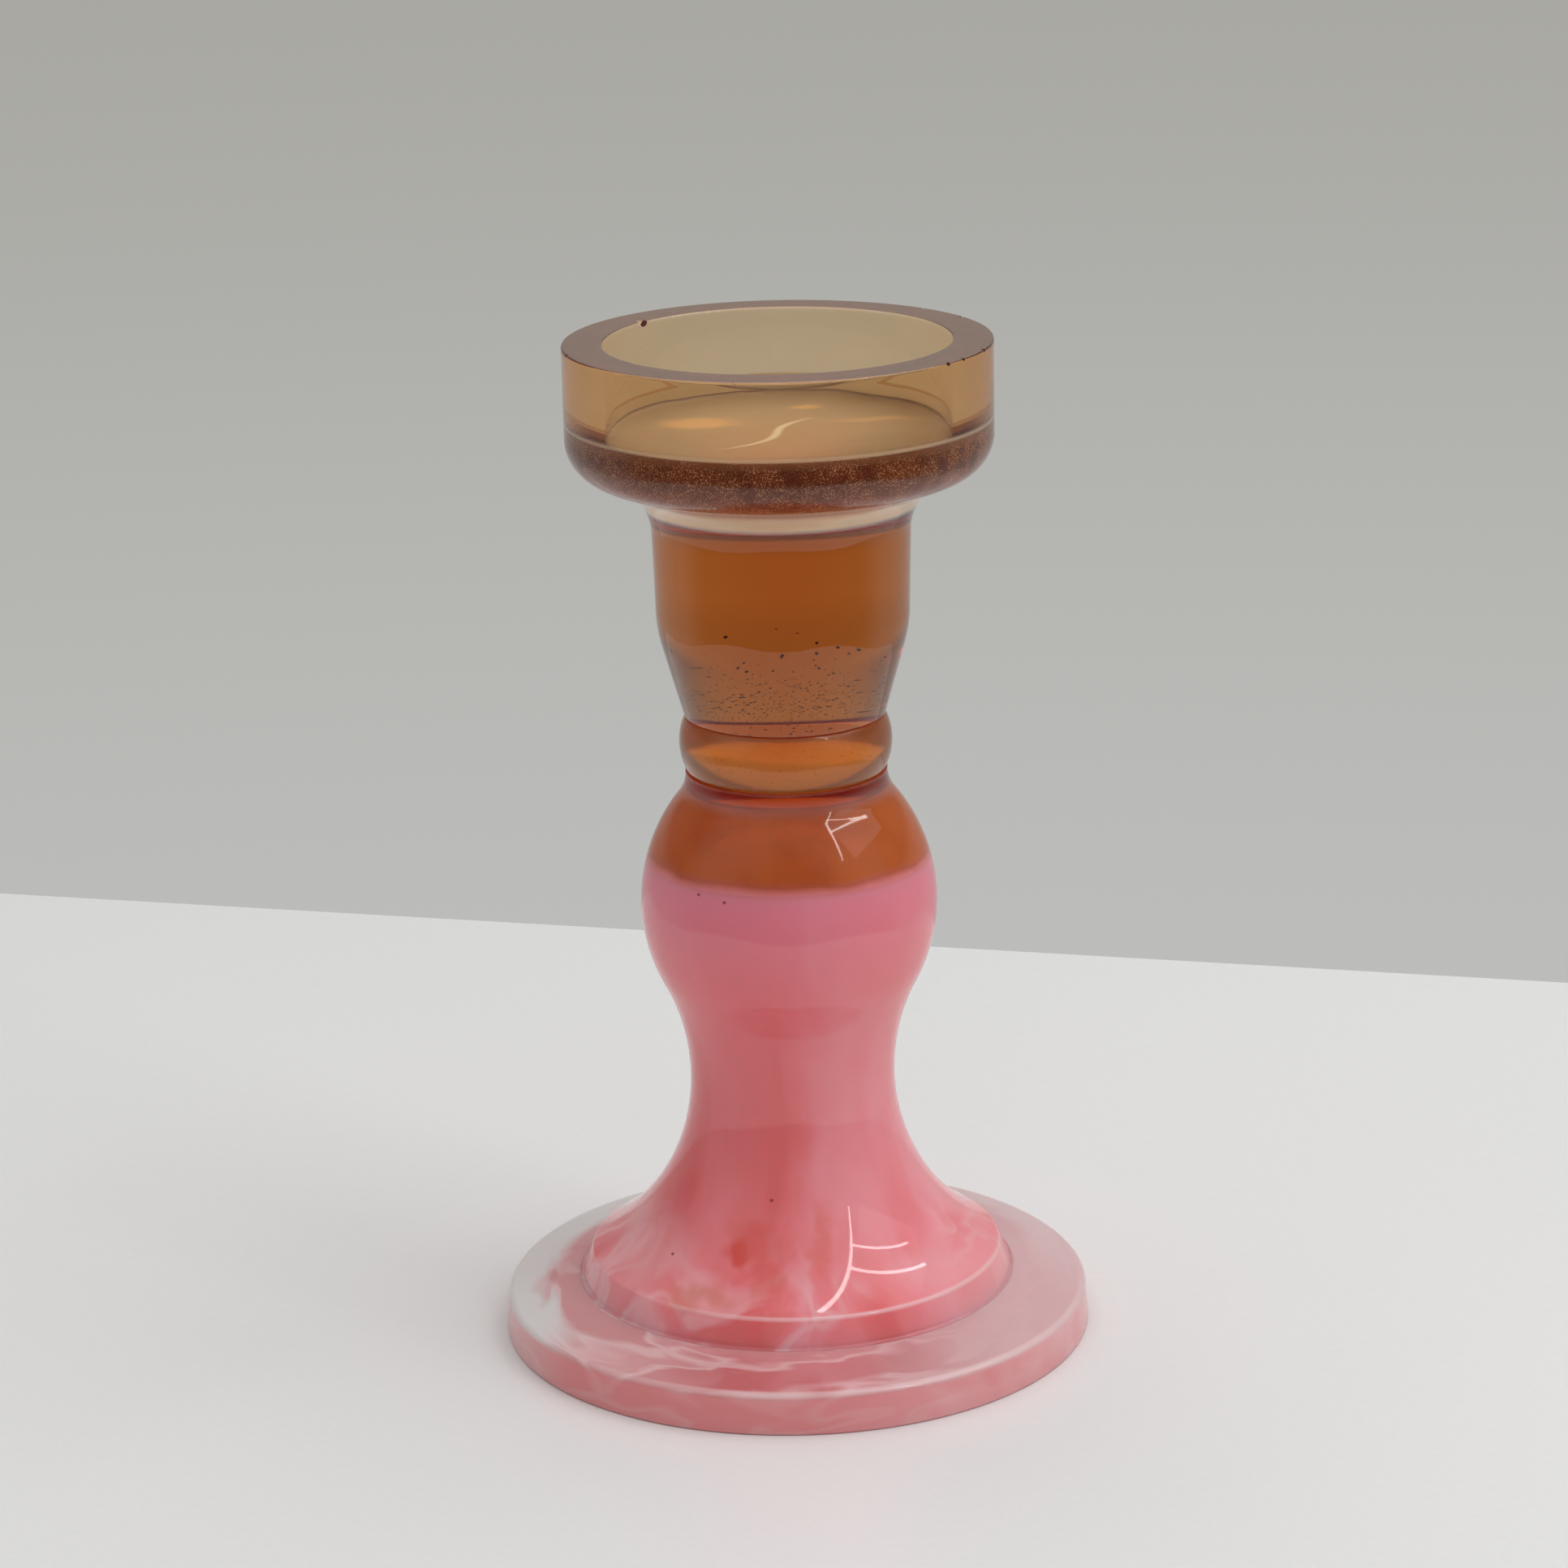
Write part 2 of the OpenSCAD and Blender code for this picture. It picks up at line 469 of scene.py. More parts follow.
# ---------------------------------------------------------------- amber resin
def painted_floor_glints(m):
    """A painted curved highlight and three painted warm glints on the well's matt floor."""
    x = m.times(m.axis("X"), 1 / MM)
    y = m.plus(m.times(m.axis("Y"), 1 / MM), 2.0)
    cube = m.times(y, m.times(y, y))
    curve = m.minus(m.plus(m.times(y, 0.10), m.times(cube, 0.0085)), 0.2)
    # painted highlight: a curved line that stands in for a strip lamp's reflection on the floor
    line = m.ramp(m.size(m.minus(x, curve)), 0.15, 0.75, 1.0, 0.0)
    highlight_curve = m.times(line, m.near((-1 * MM, -3 * MM, WELL_Z), (7.0 * MM, 9.5 * MM, 3 * MM), 0.35))
    # painted glints: warm patches that stand in for lamp light focused onto the floor
    warped = m.warped(m.place, 3 * MM, 300.0)
    left = m.near((-9.5 * MM, 3.5 * MM, WELL_Z), (4.2 * MM, 2.6 * MM, 5 * MM), 0.5, warped)
    right = m.near((3.8 * MM, 11.4 * MM, WELL_Z), (1.8 * MM, 1.2 * MM, 4 * MM), 0.6, warped)
    far = m.near((12.0 * MM, 4.0 * MM, WELL_Z), (5.0 * MM, 1.2 * MM, 4 * MM), 0.6, warped)
    warm_glints = m.most(left, m.most(right, m.times(far, 0.6)))
    return m.times(highlight_curve, 0.75), m.times(warm_glints, 0.6)


class Coat:
    """The colour of a clear resin's skin and the share of it that is closed, laid on in
    layers. Where nothing is closed the skin is clear."""

    def __init__(self, m, colour):
        self.m = m
        self.colour = colour
        self.closed = None

    def layer(self, mask, colour, share):
        """Lays a colour where the mask is 1, with that share of the skin closed."""
        part = self.m.times(mask, share)
        self.colour = self.m.mix(mask, self.colour, colour)
        self.closed = part if self.closed is None else self.m.most(self.closed, part)


def pigmented_base(m, coat, height):
    """Grainy dark pigment in the cup's solid base, under a painted highlight line that stands
    for light caught by the pigment's top. It shows a little above the well's floor on the
    outer wall, less so at the back. Returns where the pigment is."""
    fine = m.noise(m.scaled(6500.0), 0.0, 0.5)
    patchy = m.noise(m.scaled(420.0), 3.0)
    outside = m.ramp(m.radius(), CUP_R - 2.5 * MM, CUP_R - 1.5 * MM)
    on_wall = m.times(outside, m.ramp(height, PIGMENT_TOP, PIGMENT_TOP - 0.15 * MM))
    on_wall = m.times(on_wall, m.rest(m.times(m.facing(90, -0.25, 0.35), 0.85)))
    place = m.most(on_wall, m.ramp(height, WELL_Z - 0.15 * MM, WELL_Z - 0.7 * MM))
    place = m.times(place, m.ramp(height, PIGMENT_END, PIGMENT_LOW))

    shade = m.mix(m.ramp(patchy, 0.30, 0.70), (0.13, 0.022, 0.002), (0.22, 0.045, 0.006))
    lower = m.ramp(height, 108.2 * MM, 105.0 * MM)
    shade = m.mix(m.times(lower, 0.45), shade, (0.40, 0.10, 0.035))
    above = m.ramp(height, WELL_Z - 0.1 * MM, WELL_Z + 0.7 * MM)
    shade = m.mix(m.times(above, 0.7), shade, (0.46, 0.17, 0.06))
    glint = m.times(m.ramp(fine, 0.57, 0.68), m.ramp(patchy, 0.25, 0.60))
    shade = m.mix(m.times(glint, 0.6), shade, (0.85, 0.45, 0.22))
    coat.layer(place, shade, m.ramp(above, 0.0, 1.0, 0.80, 0.50))

    # painted highlight: a pale line at the pigment's top, for the light it catches from above
    brim = m.band(height, PIGMENT_TOP - 0.1 * MM, PIGMENT_TOP + 0.05 * MM,
                  PIGMENT_TOP + 0.2 * MM, PIGMENT_TOP + 0.5 * MM)
    coat.layer(m.times(outside, brim), (1.0, 0.76, 0.48), 0.38)
    return place


def fillet_painted_light(m, coat, height):
    """Painted light: a pale colour on the hollow fillet under the cup, for light seen through it.
    """
    hollow = m.band(height, 100.6 * MM, 101.5 * MM, PIGMENT_END, PIGMENT_LOW)
    uneven = m.noise(m.scaled((90.0, 90.0, 300.0)), 2.0)
    # painted light showing through the fillet from behind
    coat.layer(hollow, (1.0, 0.73, 0.46), m.ramp(uneven, 0.2, 0.8, 0.78, 0.92))


def hazy_collar_and_cap(m, coat, height, haze):
    """Haze in the collar and the cap, and a soft wandering end to the amber at the pour."""
    collar = m.band(height, COLLAR_LOW - 0.3 * MM, COLLAR_LOW + 0.2 * MM,
                    COLLAR_HIGH - 0.2 * MM, COLLAR_HIGH + 0.3 * MM)
    coat.layer(collar, (0.88, 0.43, 0.12), m.ramp(haze, 0.25, 0.75, 0.15, 0.28))
    cap = m.ramp(height, COLLAR_LOW - 0.3 * MM, COLLAR_LOW - 3.0 * MM)
    coat.layer(cap, (0.92, 0.25, 0.05), m.ramp(haze, 0.25, 0.75, 0.26, 0.44))
    wander = m.minus(m.noise(m.scaled(150.0), 2.0, 0.5), 0.5)
    level = m.plus(height, m.times(wander, 1.4 * MM))
    coat.layer(m.ramp(level, POUR_Z + 1.9 * MM, POUR_Z - 0.1 * MM), (0.90, 0.27, 0.30), 0.9)


def well_floor(m, coat, floor):
    """The well's matt floor, with a painted highlight curve and painted warm glints laid on it."""
    floor_and_glints = m.mix(m.noise(m.scaled(260.0), 4.0), (0.76, 0.63, 0.43), (0.85, 0.74, 0.56))
    highlight_curve, warm_glints = painted_floor_glints(m)
    # painted glints and painted highlight, brighter and more closed than the plain floor
    floor_and_glints = m.mix(warm_glints, floor_and_glints, (1.0, 0.62, 0.26))
    floor_and_glints = m.mix(highlight_curve, floor_and_glints, (1.0, 0.93, 0.80))
    coat.layer(floor, floor_and_glints, m.plus(0.5, m.times(m.most(highlight_curve, warm_glints), 0.45)))


def amber_roughness(m, height, pigment, floor, rim):
    """Matt on the floor, sawn on the rim, and polished elsewhere."""
    sawn = m.ramp(m.noise(m.scaled(700.0), 3.0), 0.3, 0.7, 0.13, 0.18)
    rough = m.most(m.times(rim, sawn), m.times(floor, 0.6))
    soft = m.times(m.ramp(height, COLLAR_HIGH + 0.3 * MM, COLLAR_HIGH - 0.6 * MM),
                   m.ramp(height, COLLAR_LOW - 1.2 * MM, COLLAR_LOW + 0.3 * MM, 0.03, 0.08))
    return m.plus(m.most(rough, m.most(m.times(pigment, 0.12), soft)), 0.02)


def amber_resin():
    """Clear amber resin: cloudy above the pour line, full of pigment in the cup's solid
    base, with a sawn rim and a matt well floor."""
    m = Nodes("amber_resin")
    height = m.axis("Z")
    haze = m.noise(m.scaled(90.0), 2.0)
    coat = Coat(m, m.mix(haze, (1.0, 0.96, 0.90), (1.0, 0.99, 0.97)))
    pigment = pigmented_base(m, coat, height)
    fillet_painted_light(m, coat, height)
    hazy_collar_and_cap(m, coat, height, haze)
    in_well = m.ramp(m.radius(), WELL_R + 0.1 * MM, WELL_R - 0.2 * MM)
    floor = m.times(in_well, m.band(height, WELL_Z - 0.4 * MM, WELL_Z - 0.1 * MM,
                                    WELL_Z + 0.6 * MM, WELL_Z + 1.1 * MM))
    well_floor(m, coat, floor)
    rim = m.ramp(height, RIM_Z - 0.10 * MM, RIM_Z - 0.02 * MM)
    coat.layer(rim, (0.60, 0.43, 0.34), 0.38)
    m.set(Base_Color=coat.colour, Transmission_Weight=m.rest(coat.closed), IOR=1.5)
    m.set(Roughness=amber_roughness(m, height, pigment, floor, rim))
    m.bump(m.noise(m.scaled(160.0), 1.0), 0.25, 0.15 * MM)
    m.absorb((0.91, 0.585, 0.08), 150.0)
    return m.mat


# ---------------------------------------------------------------- pink resin
# Soft patches and red patches in it: the centre and the radii in millimetres,
# the colour, and how much of it shows.
SOFT_PATCHES = (
    ((-5, -13, 27), (6, 9, 15), (0.86, 0.17, 0.17), 0.5),
    ((6, -13, 24), (4, 8, 20), (1.0, 0.40, 0.44), 0.4),
    ((-5, -16, 49), (9, 9, 12), (0.86, 0.17, 0.20), 0.35),
    ((-22, -12, 8), (7, 7, 4), (0.97, 0.42, 0.46), 0.50),
    ((23, -10, 8), (9, 9, 6), (0.97, 0.45, 0.48), 0.60),
    ((-17, -7, 12), (4, 9, 5), (0.96, 0.55, 0.57), 0.5),
    ((5, 13, 26), (7, 9, 15), (0.84, 0.16, 0.17), 0.5),
    ((-8, 13, 22), (5, 8, 20), (1.0, 0.40, 0.44), 0.4),
)
RED_PATCHES = (
    ((-6.6, -17.2, 14.6), (1.7, 3.5, 1.3), (0.78, 0.075, 0.055), 0.95),
    ((-5.2, -16.4, 16.0), (2.4, 3.5, 2.6), (0.80, 0.12, 0.10), 0.7),
    ((2.6, -17.2, 16.4), (1.3, 3.0, 3.2), (0.84, 0.18, 0.16), 0.6),
    ((-12.5, -19.6, 10.6), (3.0, 3.0, 1.0), (0.72, 0.22, 0.16), 0.6),
    ((-8.5, -20.0, 10.8), (1.6, 3.0, 1.4), (0.74, 0.20, 0.14), 0.6),
    ((-3.5, -20.3, 12.2), (1.2, 3.0, 2.0), (0.80, 0.18, 0.15), 0.5),
    ((15, 14, 13.5), (2.6, 2.6, 1.8), (0.78, 0.09, 0.07), 0.7),
    ((-16, 10, 14.0), (1.6, 3.0, 2.8), (0.78, 0.13, 0.10), 0.5),
)
# Pits in the pink skin: degrees round the axis, and height in millimetres
PITS = ((-128, 58.0), (-116, 57.6), (-101, 20.5), (-138, 13.5), (60, 56.5), (150, 24.0))


def streaked_pink(m, height):
    """Soft upright streaks of three pinks, fainter on the bulb."""
    deep, mid, light = (0.84, 0.165, 0.175), (0.94, 0.25, 0.275), (1.0, 0.35, 0.40)
    tall = m.warped(m.scaled((80.0, 80.0, 16.0)), 0.9, 0.9)
    streaks = m.minus(m.noise(tall, 3.0, 0.45, 0.3), 0.5)
    streaks = m.plus(m.times(streaks, m.ramp(height, 24 * MM, 46 * MM, 1.35, 0.6)), 0.5)
    base = m.mix(m.ramp(streaks, 0.26, 0.50), deep, mid)
    return m.mix(m.ramp(streaks, 0.50, 0.76), base, light)


def patched(m, base, patches, soft, place):
    """The base with patches laid on it."""
    for centre, radii, colour, share in patches:
        spot = m.near([c * MM for c in centre], [r * MM for r in radii], soft, place)
        base = m.mix(m.times(spot, share), base, colour)
    return base


def smoky_curls(m, base, height):
    """Pale curls and darker gaps between them, low on the flare."""
    low = m.ramp(height, 9 * MM, 22 * MM, 1.0, 0.0)
    curls = m.noise(m.warped(m.scaled(75.0), 1.6, 0.9), 3.0, 0.45, 0.6)
    ridge = m.ramp(m.size(m.minus(curls, 0.5)), 0.0, 0.10, 1.0, 0.0)
    here = m.times(m.ramp(m.noise(m.scaled(60.0, (3.1, 0.4, 0.0)), 2.0), 0.38, 0.62), low)
    dark = m.times(m.ramp(curls, 0.40, 0.28), here)
    base = m.mix(m.times(dark, 0.45), base, (0.80, 0.20, 0.19))
    return m.mix(m.times(m.times(ridge, here), 0.46), base, (0.98, 0.60, 0.64))


def rosy_top(m, base, height):
    """Pinker towards the pour, with a thin blush under it and a pale dome above it."""
    rose = m.ramp(height, 45 * MM, 59 * MM)
    base = m.mix(m.times(rose, 0.6), base, (0.97, 0.30, 0.42))
    blush = m.ramp(height, POUR_Z - 0.7 * MM, POUR_Z + 0.1 * MM)
    base = m.mix(m.times(blush, 0.55), base, (0.90, 0.26, 0.26))
    return m.mix(m.ramp(height, POUR_Z, POUR_Z + 0.2 * MM), base, (0.98, 0.52, 0.42))


def painted_brow_highlight(m, base, height):
    """A painted highlight along the step's edge, on the right front."""
    brow = m.times(m.ramp(m.radius(), FLARE_R - 0.4 * MM, FLARE_R - 0.1 * MM),
                   m.ramp(height, STEP_HIGH - 0.4 * MM, STEP_HIGH - 0.1 * MM))
    brow = m.times(brow, m.facing(-62, 0.1, 0.95))
    # painted highlight: stands in for the strip lamps' reflection along the brow
    return m.mix(m.times(brow, 0.45), base, (1.0, 0.74, 0.76))


def pitted(m, base):
    """Small dark pits in the skin."""
    size = (0.22 * MM, 0.22 * MM, 0.18 * MM)
    for angle, z in PITS:
        a = math.radians(angle)
        skin = stem_radius(z * MM)
        pit = m.near((skin * math.cos(a), skin * math.sin(a), z * MM), size, 0.3)
        base = m.mix(m.times(pit, 0.8), base, (0.28, 0.03, 0.04))
    return base


def pink_resin():
    """Milky pink resin: even on the bulb, with soft upright streaks and smoky curls
    lower down and a few translucent red patches on the flare."""
    m = Nodes("pink_resin")
    height = m.axis("Z")
    base = streaked_pink(m, height)
    base = patched(m, base, SOFT_PATCHES, 0.75, m.warped(m.place, 8 * MM, 90.0))
    base = smoky_curls(m, base, height)
    base = patched(m, base, RED_PATCHES, 0.55, m.warped(m.place, 5.5 * MM, 230.0))
    base = rosy_top(m, base, height)
    base = painted_brow_highlight(m, base, height)
    base = pitted(m, base)
    m.set(Base_Color=base, Roughness=0.04, IOR=1.5)
    m.milky(0.5, 5 * MM, (1.0, 0.35, 0.3))
    m.bump(m.noise(m.scaled(120.0), 1.0), 0.12, 0.10 * MM)
    return m.mat


# ---------------------------------------------------------------- foot resin and grains
def clear_share(m, reach, curls, side):
    """How clear the foot is: a crescent on the left with a torn inner edge, less at the
    back, and hardly at all on the side of the disc."""
    torn = m.plus(reach, m.times(m.minus(curls, 0.5), 7 * MM))
    window = m.times(m.facing(164, 0.52, 0.80), m.ramp(torn, 28.6 * MM, 31.6 * MM))
    back = m.times(m.facing(78, -0.15, 0.75), m.ramp(torn, 26 * MM, 33 * MM))
    return m.times(m.most(window, m.times(back, 0.35)), m.rest(m.times(side, 0.75)))


def foot_pinks(m, broad, side):
    """Pink that pales to the left and the right, and is stronger on the disc's side."""
    right = m.ramp(m.axis("X"), 2 * MM, 27 * MM)
    left = m.ramp(m.axis("X"), -6 * MM, -24 * MM)
    pink = m.mix(m.ramp(broad, 0.35, 0.65), (0.64, 0.17, 0.18), (0.72, 0.26, 0.28))
    pink = m.mix(m.times(right, 0.85), pink, (0.80, 0.56, 0.58))
    pink = m.mix(m.times(left, 0.65), pink, (0.80, 0.46, 0.47))
    flank = m.mix(right, (0.90, 0.29, 0.31), (0.98, 0.52, 0.55))
    flank = m.mix(m.ramp(broad, 0.30, 0.70), (0.88, 0.29, 0.29), flank)
    return m.mix(side, pink, flank)


def foot_smoke(m, pink, curls, side):
    """Strands and veils of paler smoke, mostly at the left front."""
    strand = m.ramp(m.size(m.minus(curls, 0.52)), 0.0, 0.09, 1.0, 0.0)
    amount = m.times(m.facing(-122, 0.15, 0.85), m.rest(m.times(side, 0.8)))
    amount = m.plus(m.times(amount, 0.42), 0.08)
    pink = m.mix(m.times(strand, amount), pink, (0.97, 0.74, 0.76))
    veil = m.times(m.ramp(curls, 0.46, 0.72), amount)
    return m.mix(m.times(veil, 0.6), pink, (0.93, 0.60, 0.62))


def painted_lip_highlight(m, pink, height, reach):
    """A painted highlight along the disc's rounded edge, on the right front."""
    lip = m.times(m.ramp(reach, FOOT_TOP_R - 1.1 * MM, FOOT_TOP_R - 0.5 * MM),
                  m.ramp(height, FOOT_EDGE_Z - 0.7 * MM, FOOT_EDGE_Z - 0.25 * MM))
    lip = m.times(lip, m.facing(-62, 0.0, 0.95))
    # painted highlight: stands in for the strip lamps' reflection on the disc's edge
    return m.mix(m.times(lip, 0.40), pink, (1.0, 0.80, 0.80))


def foot_resin():
    """The foot's resin: clear in a crescent on the left, hazy at the back, and clouded
    with pink smoke everywhere else."""
    m = Nodes("foot_resin")
    height = m.axis("Z")
    reach = m.radius()
    curls = m.noise(m.warped(m.turned_about(2.6, 200.0), 1.3, 0.8, 1.0), 2.0, 0.4, 0.4)
    broad = m.noise(m.warped(m.scaled(70.0), 1.2, 0.9), 2.0, 0.5)
    side = m.times(m.ramp(reach, FOOT_TOP_R - 1.0 * MM, FOOT_TOP_R - 0.1 * MM),
                   m.ramp(height, FOOT_EDGE_Z - 0.2 * MM, FOOT_EDGE_Z - 1.0 * MM))
    clear = clear_share(m, reach, curls, side)
    pink = foot_pinks(m, broad, side)
    pink = foot_smoke(m, pink, curls, side)
    pink = painted_lip_highlight(m, pink, height, reach)
    m.set(Base_Color=m.mix(clear, pink, (1.0, 0.97, 0.96)))
    m.set(Transmission_Weight=m.ramp(clear, 0.0, 1.0, 0.10, 0.24))
    m.set(IOR=1.5, Roughness=m.ramp(broad, 0.2, 0.8, 0.03, 0.07))
    m.milky(0.3, 3 * MM, (1.0, 0.4, 0.35))
    m.bump(m.noise(m.scaled(140.0), 1.5), 0.2, 0.12 * MM)
    m.absorb((0.97, 0.72, 0.74), 12.0)
    return m.mat


def cloud_resin():
    """The dense pink heart of the foot. It is pale because resin round a body darkens it."""
    m = Nodes("cloud_resin")
    curls = m.noise(m.warped(m.scaled((70.0, 70.0, 50.0)), 1.6, 0.9), 4.0, 0.5, 0.6)
    ridge = m.ramp(m.size(m.minus(curls, 0.5)), 0.0, 0.10, 1.0, 0.0)
    base = m.mix(m.ramp(curls, 0.34, 0.62), (0.95, 0.46, 0.48), (0.97, 0.58, 0.60))
    base = m.mix(m.times(ridge, 0.35), base, (0.99, 0.80, 0.82))
    m.set(Base_Color=base, Roughness=0.5, IOR=1.5)
    m.milky(0.5, 4 * MM, (1.0, 0.4, 0.35))
    return m.mat


def speck_pigment():
    """Dark brown pigment."""
    m = Nodes("speck_pigment")
    shade = m.noise(m.scaled(900.0), 1.0)
    m.set(Base_Color=m.mix(shade, (0.10, 0.022, 0.007), (0.26, 0.085, 0.03)), Roughness=0.4)
    return m.mat


def mica():
    """Warm glinting mica."""
    m = Nodes("mica")
    shade = m.noise(m.scaled(700.0), 1.0)
    m.set(Base_Color=m.mix(shade, (0.80, 0.50, 0.28), (1.0, 0.82, 0.58)))
    m.set(Roughness=0.35, Metallic=0.25)
    return m.mat


# ---------------------------------------------------------------- pieces
def keep(piece, material, slot, *nodes):
    """Gives a piece its material, body and the CAD nodes that it stands for. The slot is not used.
    """
    piece.data.materials.clear()
    piece.data.materials.append(material)
    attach(piece, "root")
    if nodes:
        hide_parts(*nodes)


# Chips in the rim: degrees round the axis, radius and size
CHIPS = (
    (141, WELL_R + 0.1 * MM, 0.85 * MM),
    (45, CUP_R, 0.50 * MM),
    (28, CUP_R, 0.65 * MM),
    (-20, CUP_R, 0.45 * MM),
    (-33, CUP_R, 0.40 * MM),
    (-40, CUP_R, 0.45 * MM),
    (195, CUP_R, 0.35 * MM),
    (-101, CUP_R, 0.30 * MM),
)


def make_amber():
    """The amber casting, from the pour up to the chipped rim."""
    bottom = line((0, POUR_Z), (POUR_R, POUR_Z), 1.5 * MM)
    outline = chain(bottom, cap_outline(), collar_outline(), neck_outline(), cup_outline())
    piece = turned("amber_casting", outline, WOBBLE)
    bites = []
    for angle, radius, size in CHIPS:
        a = math.radians(angle)
        place = Vector((radius * math.cos(a), radius * math.sin(a), RIM_Z))
        bites.append((place, size, Matrix.Rotation(a, 3, "Z")))
    carve(piece, bite_shapes(bites))
    smooth(piece)
    keep(piece, amber_resin(), "amber_resin",
         "candle_cup", "neck_barrel", "collar_ring", "bulb_cap")


def dome_outline(start_r):
    """The top of the pink, a low dome that reaches up into the amber."""
    rise = 3.2 * MM
    low = POUR_Z + 0.1 * MM
    steps = 24
    points = [(start_r, POUR_Z)]
    for k in range(steps + 1):
        share = 1 - k / steps
        points.append((start_r * share, low + rise * (1 - share ** 2)))
    return points


def make_pink():
    """The stem and the step below it, with the dome on top."""
    tuck = 0.2 * MM
    sunk = STEP_LOW - 0.4 * MM
    foot_fillet = 0.4 * MM
    brow_r = 0.5 * MM
    fillet = (STEP_R + foot_fillet, STEP_LOW + foot_fillet - 0.05 * MM)
    flare = arc(STEM_C, STEM_ARC_R, FLARE_A, STEM_A)
    side = (STEP_R, fillet[1])
    brow = rounded((FLARE_R, STEP_HIGH), side, flare[3], brow_r)
    above = [p for p in flare if p[1] > brow[-1][1]]
    stem = turned("stem_casting", chain(
        line((0, sunk), (fillet[0], sunk), 1.5 * MM), arc(fillet, foot_fillet, 270, 180, 0.1 * MM),
        line(side, brow[0], 0.4 * MM), brow, above, arc(BULB_C, BULB_ARC_R, STEM_A - 180, POUR_A),
        dome_outline(POUR_R - tuck)), WOBBLE)
    smooth(stem)
    keep(stem, pink_resin(), "pink_resin", "stem_body", "foot_step")


def make_foot():
    """The clear foot disc, with a flat underside and a roof that slopes to the step."""
    edge = (FOOT_TOP_R - FOOT_EDGE_R, FOOT_EDGE_Z - FOOT_EDGE_R)
    side_top = (FOOT_TOP_R, edge[1])
    base = rounded((FOOT_R, 0), (0, 0), side_top, 0.25 * MM)
    slope = line((edge[0], FOOT_EDGE_Z), (STEP_R - 0.2 * MM, STEP_LOW))
    disc = turned("foot_disc_clear", chain(
        line((0, 0), base[0], 1.5 * MM), base, line(base[-1], side_top),
        arc(edge, FOOT_EDGE_R, 0, 90, 0.1 * MM), slope, line(slope[-1], (0, STEP_LOW), 1.5 * MM)))
    smooth(disc)
    keep(disc, foot_resin(), "clear_resin", "foot_disc")


def disc_roof(r):
    """Height of the clear disc's sloping top at a radius."""
    share = (r - STEP_R) / (FOOT_TOP_R - FOOT_EDGE_R - STEP_R)
    return STEP_LOW + (FOOT_EDGE_Z - STEP_LOW) * max(0.0, share)


def ragged_body(name, edge_r):
    """A low closed body inside the disc. edge_r(angle) is its torn outer edge."""
    turns = 420
    steps = 26
    inset = 0.75 * MM  # depth below the disc's roof
    rim_drop = 0.9 * MM  # how much deeper its edge lies
    lumps = 0.25 * MM
    cover = 0.25 * MM  # least clear resin over it
    floor_z = 0.05 * MM
    start = STEP_R - 1.2 * MM
    bm = bmesh.new()
    rings = []
    for k in range(steps + 1):
        share = k / steps
        ring = []
        for i in range(turns):
            a = 2 * math.pi * i / turns
            r = start + (edge_r(a) - start) * share
            place = Vector((math.cos(a) * r, math.sin(a) * r, 0))
            lump = noise.fractal(place / (5 * MM), 1.0, 2.0, 3) * lumps
            lump = lump * math.sin(math.pi * share) ** 0.5
            z = disc_roof(r) - inset - rim_drop * share ** 2.2 + lump
            ring.append(bm.verts.new((place.x, place.y, min(z, disc_roof(r) - cover))))
        rings.append(ring)
    for depth, back in ((0.45, 0.05 * MM), (1.0, 0.15 * MM)):
        ring = []
        for i, rim in enumerate(rings[steps]):
            a = 2 * math.pi * i / turns
            uneven = noise.noise(Vector((math.cos(a), math.sin(a), depth)) * 9)
            r = edge_r(a) - back * (0.6 + 0.8 * uneven)
            z = rim.co.z + (floor_z - rim.co.z) * depth
            ring.append(bm.verts.new((r * math.cos(a), r * math.sin(a), z)))
        rings.append(ring)
    for first, second in zip(rings, rings[1:]):
        for i in range(turns):
            j = (i + 1) % turns
            bm.faces.new((first[i], first[j], second[j], second[i]))
    bm.faces.new(rings[0])
    bm.faces.new(list(reversed(rings[-1])))
    bmesh.ops.recalc_face_normals(bm, faces=bm.faces)
    mesh = bpy.data.meshes.new(name)
    bm.to_mesh(mesh)
    bm.free()
    piece = link(name, mesh)
    smooth(piece, 60)
    return piece


def leftness(a):
    """1 towards the left and back, 0 on the other side."""
    return 0.5 + 0.5 * math.cos(a - math.radians(158))


def heart_edge(a):
    """Radius of the heart's torn edge at an angle."""
    torn = noise.fractal(Vector((math.cos(a), math.sin(a), 0.3)) * 5, 1.0, 2.0, 4)
    return (31.4 - 2.2 * leftness(a) ** 2 + 0.6 * torn) * MM


def make_cloud():
    """The dense pink heart inside the clear foot."""
    heart = ragged_body("foot_cloud_heart", heart_edge)
    keep(heart, cloud_resin(), "pink_resin", "foot_core")


def flake(bm, place, radius, turn, thin, corners):
    """One closed grain: two tips, thin times its radius away, over a ring of corners."""
    tips = [bm.verts.new(place + turn @ Vector((0, 0, side * radius * thin))) for side in (1, -1)]
    ring = []
    for k in range(corners):
        a = 2 * math.pi * k / corners
        corner = Vector((radius * math.cos(a), radius * math.sin(a), 0))
        ring.append(bm.verts.new(place + turn @ corner))
    for k in range(corners):
        after = ring[(k + 1) % corners]
        bm.faces.new((ring[k], after, tips[0]))
        bm.faces.new((after, ring[k], tips[1]))


def grains(name, places, thin, corners):
    """One mesh of many grains, each a place, a size and a turn."""
    bm = bmesh.new()
    for place, radius, turn in places:
        flake(bm, place, radius, turn, thin, corners)
    mesh = bpy.data.meshes.new(name)
    bm.to_mesh(mesh)
    bm.free()
    return link(name, mesh)


